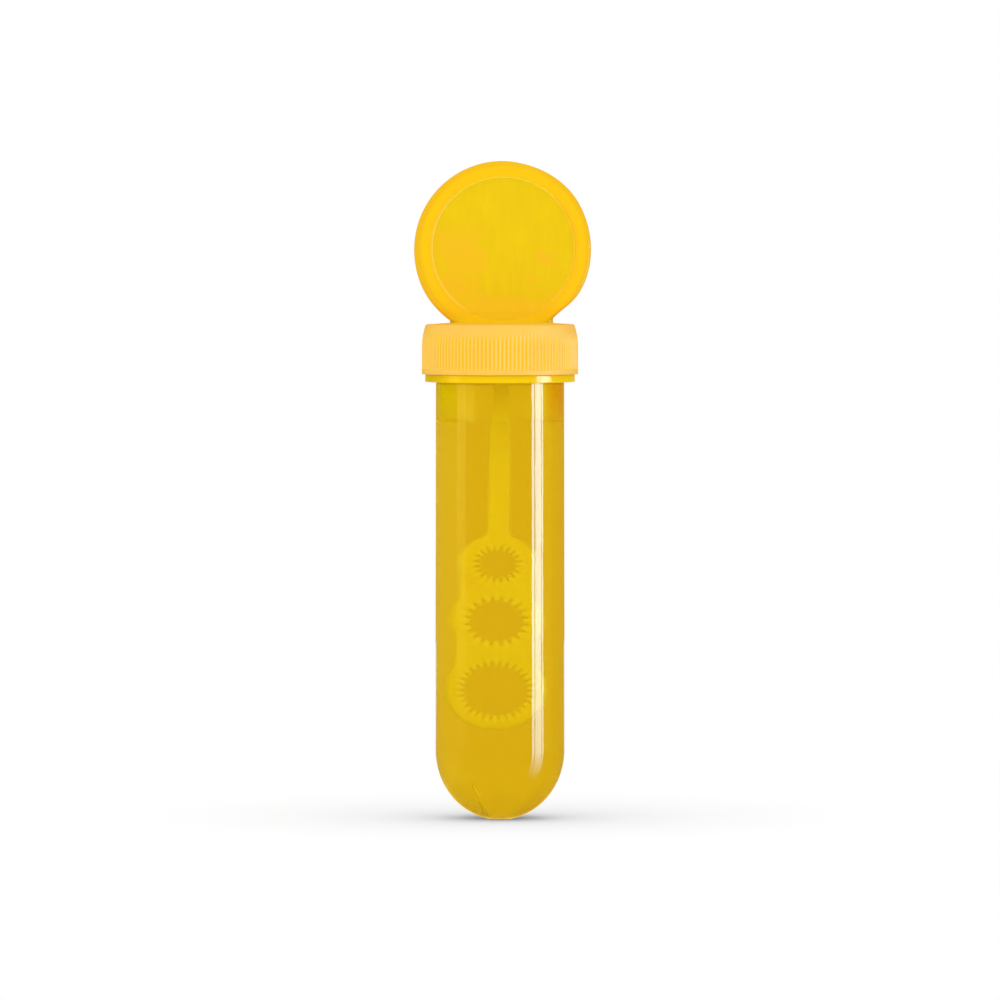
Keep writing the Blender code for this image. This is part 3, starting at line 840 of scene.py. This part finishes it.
def build_cap():
    per_rib = 8
    count = RIBS * per_rib
    shape = bmesh.new()
    rings = []
    for r, z, depth in cap_rows():
        ring = []
        for i in range(count):
            wave = 0.5 - 0.5 * math.cos(math.tau * i / per_rib)
            reach = r - depth * wave
            turn = math.tau * i / count
            ring.append(shape.verts.new((reach * math.cos(turn), reach * math.sin(turn), z)))
        rings.append(ring)
    for one, two in zip(rings, rings[1:] + rings[:1]):
        for i in range(count):
            j = (i + 1) % count
            shape.faces.new((one[i], one[j], two[j], two[i]))
    bmesh.ops.recalc_face_normals(shape, faces=shape.faces)
    cap = mesh_object("cap_ribbed", shape)
    centre = (SEAT_X, 0, SEAT_Z - GAP + CAP_SLOT_H / 2)
    slot = block("cap_slot", centre, (FOOT_W + 2 * GAP, DISC_T + 2 * GAP, CAP_SLOT_H))
    combine(cap, slot, "DIFFERENCE")
    z_zero = FLANGE_TOP + THREAD_RISE - PITCH / 2
    reach = (z_zero, CAP_THREAD_LOW, CAP_THREAD_HIGH)
    combine(cap, helix("cap_ridge", CAP_BORE, CAP_THREAD_PROUD, True, *reach), "UNION")
    smooth(cap, 40)
    finished(cap, cap_material(), "cap", "cap_plastic", "screw_cap")


# Where the disc's outline departs from a circle: degrees from +X, the spread, and millimetres
OUTLINE_SWELLS = ((-48, 13, -0.7), (40, 16, 0.17), (76, 10, -0.08), (210, 16, 0.1))


def disc_point(r, turn):
    """Where a point of the disc's profile goes: its rim swells, and its recess is off centre."""
    swell = sum(
        size * math.exp(-(((math.degrees(turn) - at + 180) % 360 - 180) / wide) ** 2)
        for at, wide, size in OUTLINE_SWELLS
    )
    inner = RECESS_R + 0.4
    share = min(1.0, max(0.0, (r - inner) / (DISC_R - RIM_FILLET - inner)))
    shift = RECESS_SHIFT * (1 - share)
    reach = r + swell * share
    return reach * math.cos(turn) + shift, reach * math.sin(turn) + shift


def build_handle():
    half = DISC_T / 2
    face = [
        (0.0, half - RECESS_DEPTH, 0),
        (RECESS_R - 0.15, half - RECESS_DEPTH, 0.3),
        (RECESS_R, half, 0.25),
        (DISC_R - RIM_FILLET - 0.02, half, 0.01),
        (DISC_R, half, RIM_FILLET),
    ]
    front = rounded(face + [(DISC_R, -half, RIM_FILLET)], 8)
    seam = len(front) - 1
    back = [(r, -z) for r, z in reversed(front)]
    handle = revolve("handle_disc", front[:seam] + back[1:], 256, disc_point)
    handle.data.transform(leaned(0, DISC_Z - SEAT_Z) @ Matrix.Rotation(math.pi / 2, 4, "X"))
    size = (2 * DISC_R + 4, DISC_T + 4, DISC_R)
    below = block("handle_below", (0, 0, SEAT_Z + 0.03 - DISC_R / 2), size)
    combine(handle, below, "DIFFERENCE")
    centre = (SEAT_X, 0, SEAT_Z + FOOT_H / 2)
    foot = block("handle_foot", centre, (FOOT_W, DISC_T - 0.06, FOOT_H), RIM_FILLET)
    combine(handle, foot, "UNION")
    plug_profile = rounded(
        [
            (0.0, PLUG_TOP, 0),
            (PLUG_R, PLUG_TOP, 0.3),
            (PLUG_R, PLUG_BOTTOM, 0.4),
            (PLUG_R - PLUG_WALL, PLUG_BOTTOM, 0.3),
            (PLUG_R - PLUG_WALL, PLUG_TOP - PLUG_ROOF, 0.3),
            (BOSS_R, PLUG_TOP - PLUG_ROOF, 0.3),
            (BOSS_R, PLUG_BOTTOM, 0.3),
            (0.0, PLUG_BOTTOM, 0),
        ]
    )
    combine(handle, revolve("handle_plug", plug_profile, 128), "UNION")
    roof, mouth = WAND_TOP + GAP - SEAT_Z, PLUG_BOTTOM - SEAT_Z - PAST
    profile = [(0.0, roof), (SOCKET_R, roof), (SOCKET_R, mouth), (0.0, mouth)]
    socket = revolve("wand_socket", profile, 48)
    socket.data.transform(leaned())
    combine(handle, socket, "DIFFERENCE")
    finished(handle, handle_material(), "wand", "handle_plastic", "handle")


def wand_side():
    """The right side of the wand's outline, from its top to its lowest point, as (x, z)."""
    half = STEM_W / 2
    top = WAND_TOP - SEAT_Z
    side = [(half - STEM_CHAMFER, top), (half, top - STEM_CHAMFER)]
    for i, (down, outer, _, _, above) in enumerate(RINGS):
        begin = math.acos(above / outer)
        end = -math.pi / 2
        if i + 1 < len(RINGS):
            end = -math.acos(RINGS[i + 1][4] / outer)
        if i == 0:
            side.append((half, outer * math.sin(begin) - down + STEM_FILLET))
            begin -= STEM_FILLET / outer
        steps = round((begin - end) / 0.05)
        for k in range(steps + 1):
            angle = begin + (end - begin) * k / steps
            side.append((outer * math.cos(angle), outer * math.sin(angle) - down))
    return side


def toothed_hole(down, root, teeth):
    """The edge of a ring's hole, with rounded teeth, as (x, z)."""
    per_tooth = 14
    points = []
    for i in range(teeth * per_tooth):
        off = abs(i % per_tooth / per_tooth - 0.5)  # from the tooth's middle, in tooth spacings
        rise = min(1.0, max(0.0, (TOOTH_HALF - off) / TOOTH_FLANK))
        r = root - TOOTH_DEPTH * rise**2 * (3 - 2 * rise)
        turn = math.tau * (i / per_tooth - 0.5) / teeth + math.pi / 2
        points.append((r * math.cos(turn), r * math.sin(turn) - down))
    return points


def build_wand():
    side = wand_side()
    outline = side + [(-x, z) for x, z in reversed(side[:-1])]
    holes = [toothed_hole(down, root, teeth) for down, _, root, teeth, _ in RINGS]
    curve = bpy.data.curves.new("wand_outline", "CURVE")
    curve.dimensions = "2D"
    curve.fill_mode = "BOTH"
    curve.extrude = (WAND_T / 2 - WAND_EDGE) * MM
    curve.bevel_depth = WAND_EDGE * MM
    curve.bevel_resolution = 2
    curve.offset = -WAND_EDGE * MM
    for points in [outline] + holes:
        spline = curve.splines.new("POLY")
        spline.points.add(len(points) - 1)
        spline.use_cyclic_u = True
        for point, (x, z) in zip(spline.points, points):
            point.co = (x * MM, z * MM, 0, 1)
    source = bpy.data.objects.new("wand_outline", curve)
    bpy.context.scene.collection.objects.link(source)
    mesh = mesh_of(source)
    bpy.data.objects.remove(source, do_unlink=True)
    shape = bmesh.new()
    shape.from_mesh(mesh)
    bmesh.ops.remove_doubles(shape, verts=shape.verts, dist=1e-7)
    bmesh.ops.scale(shape, vec=Vector((TO_MM, TO_MM, TO_MM)), verts=shape.verts)
    bmesh.ops.recalc_face_normals(shape, faces=shape.faces)
    wand = mesh_object("bubble_wand", shape, 40)
    wand.data.transform(leaned() @ Matrix.Rotation(math.pi / 2, 4, "X"))
    finished(wand, wand_material(), "wand", "wand_plastic", "wand")


def dress_washer():
    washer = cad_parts["sealing_washer"]
    washer.data.materials.clear()
    washer.data.materials.append(foam_material())


def softbox(name, centre, width, height, radiance, colour, foot, fade, power):
    """An upright panel that faces the axis and shows only as a reflection.

    Its radiance falls over its lowest fade millimetres, at the given power of a straight line
    from 1 to foot.
    """
    light = bpy.data.lights.new(name, "AREA")
    nodes = Nodes(light)
    up = nodes.axes(nodes.add("ShaderNodeNewGeometry").outputs["Parametric"])[1]
    strength = nodes.maths("POWER", nodes.spread(up, 0.0, fade / height, foot, 1.0), power)
    nodes.put(strength, nodes.tree.nodes["Emission"].inputs["Strength"])
    light.shape = "RECTANGLE"
    light.color = colour
    light.size = width * MM
    light.size_y = height * MM
    light.energy = radiance * math.pi * light.size * light.size_y
    made = bpy.data.objects.new(name, light)
    bpy.context.scene.collection.objects.link(made)
    made.location = Vector(centre) * MM
    aim = Vector((-centre[0], -centre[1], 0))
    made.rotation_euler = aim.to_track_quat("-Z", "Y").to_euler()
    made.visible_diffuse = False
    made.visible_transmission = False
    made.visible_camera = False


def build_light():
    world = bpy.data.worlds.new("studio")
    bpy.context.scene.world = world
    nodes = Nodes(world)
    background = nodes.tree.nodes["Background"]
    path = nodes.add("ShaderNodeLightPath").outputs
    _, ahead, up = nodes.axes(nodes.where("Generated"))

    # Soft light from all round, stronger from the front and from above
    sky = nodes.spread(ahead, -1.0, 1.0, SKY_FRONT, SKY_BACK)
    sky = nodes.maths("MULTIPLY", sky, nodes.spread(up, 0.0, 1.0, SKY_LEVEL, SKY_OVERHEAD))

    # Gloss mirrors an amber room, dim in front and brighter towards the backdrop behind
    glossy = path["Is Glossy Ray"]
    reflected = nodes.maths("SUBTRACT", glossy, path["Is Transmission Ray"])
    nodes.put(nodes.blend_colours(reflected, (1.0, 1.0, 1.0), AMBER), background.inputs["Color"])
    mirrored = nodes.spread(ahead, ROOM_TURNS, BACKDROP[0], ROOM_DIM, ROOM_BRIGHT)
    mirrored = nodes.maths("MAXIMUM", mirrored, nodes.spread(ahead, *BACKDROP))
    strength = nodes.maths("MULTIPLY", nodes.maths("SUBTRACT", 1.0, glossy), sky)
    strength = nodes.maths("ADD", strength, nodes.maths("MULTIPLY", glossy, mirrored))

    # The camera sees white, straight on or through clear pieces
    seen = nodes.maths("MAXIMUM", path["Is Camera Ray"], path["Is Transmission Ray"])
    unseen = nodes.maths("MULTIPLY", nodes.maths("SUBTRACT", 1.0, seen), strength)
    nodes.put(nodes.maths("ADD", seen, unseen), background.inputs["Strength"])

    for name, first, last, (low, *look) in STRIPS:
        middle = math.radians((first + last) / 2)
        width = 2 * STRIPS_AWAY * math.tan(math.radians(last - first) / 2)
        reflecting = math.radians((first + last) / 4)
        x = TUBE_R_LOW * math.sin(reflecting) + STRIPS_AWAY * math.sin(middle)
        y = -TUBE_R_LOW * math.cos(reflecting) - STRIPS_AWAY * math.cos(middle)
        softbox(name, (x, y, (low + STRIPS_TOP) / 2), width, STRIPS_TOP - low, *look)


def build_floor():
    shape = bmesh.new()
    bmesh.ops.create_circle(shape, cap_ends=True, segments=96, radius=FLOOR_R)
    floor = mesh_object("studio_floor", shape)
    made = bpy.data.materials.new("floor_white")
    nodes = Nodes(made)
    shader = nodes.tree.nodes["Principled BSDF"]
    shader.inputs["Base Color"].default_value = (FLOOR_WHITE, FLOOR_WHITE, FLOOR_WHITE, 1)
    shader.inputs["Roughness"].default_value = 0.9
    shader.inputs["Specular IOR Level"].default_value = 0.0
    path = nodes.add("ShaderNodeLightPath").outputs
    seen = nodes.maths("MAXIMUM", path["Is Camera Ray"], path["Is Transmission Ray"])
    backwards = nodes.axes(nodes.vector("NORMALIZE", nodes.where()))[1]
    behind = nodes.spread(backwards, *FLOOR_BEHIND)
    mirrored = nodes.maths("MULTIPLY", path["Is Glossy Ray"], behind)
    seen = nodes.maths("MAXIMUM", seen, mirrored)
    shader.inputs["Emission Color"].default_value = (1, 1, 1, 1)
    nodes.put(nodes.maths("MULTIPLY", seen, FLOOR_LIFT), shader.inputs["Emission Strength"])
    far = nodes.add("ShaderNodeEmission")
    nodes.put(nodes.spread(seen, 0.0, 1.0, FLOOR_FAR, 1.0), far.inputs["Strength"])
    reach = nodes.vector("LENGTH", nodes.where())
    away = nodes.spread(reach, *(mm * MM for mm in FLOOR_SHADE))
    mixed = nodes.mix_shaders(away, shader.outputs[0], far.outputs[0])

    # Gloss mirrors the room through the floor, which glows with the tube's colour near it
    glow = nodes.add("ShaderNodeEmission")
    glow.inputs["Color"].default_value = (*GLOW_COLOUR, 1)
    near = nodes.spread(reach, *(mm * MM for mm in GLOW_REACH), GLOW, 0.0)
    nodes.put(near, glow.inputs["Strength"])
    through = nodes.add("ShaderNodeAddShader")
    nodes.put(glow.outputs[0], through.inputs[0])
    nodes.put(nodes.add("ShaderNodeBsdfTransparent").outputs[0], through.inputs[1])
    reflected = nodes.maths("SUBTRACT", path["Is Glossy Ray"], path["Is Transmission Ray"])
    in_front = nodes.maths("MULTIPLY", reflected, nodes.maths("SUBTRACT", 1.0, behind))
    mixed = nodes.mix_shaders(in_front, mixed, through.outputs[0])
    nodes.put(mixed, nodes.tree.nodes["Material Output"].inputs["Surface"])
    floor.data.materials.append(made)


def build_camera():
    data = bpy.data.cameras.new("camera")
    data.sensor_width = SENSOR
    data.sensor_fit = "HORIZONTAL"
    data.lens = SENSOR * CAMERA_DISTANCE / VIEW_WIDTH
    data.clip_start = 0.05
    camera = bpy.data.objects.new("camera", data)
    bpy.context.scene.collection.objects.link(camera)
    camera.location = (0, -CAMERA_DISTANCE * MM, CAMERA_Z * MM)
    aim = Vector((0, 0, AIM_Z * MM)) - camera.location
    camera.rotation_euler = aim.to_track_quat("-Z", "Y").to_euler()
    bpy.context.scene.camera = camera


bpy.context.scene.view_settings.view_transform = "Standard"
build_tube()
build_liquid()
build_cap()
build_handle()
build_wand()
dress_washer()
build_light()
build_floor()
build_camera()
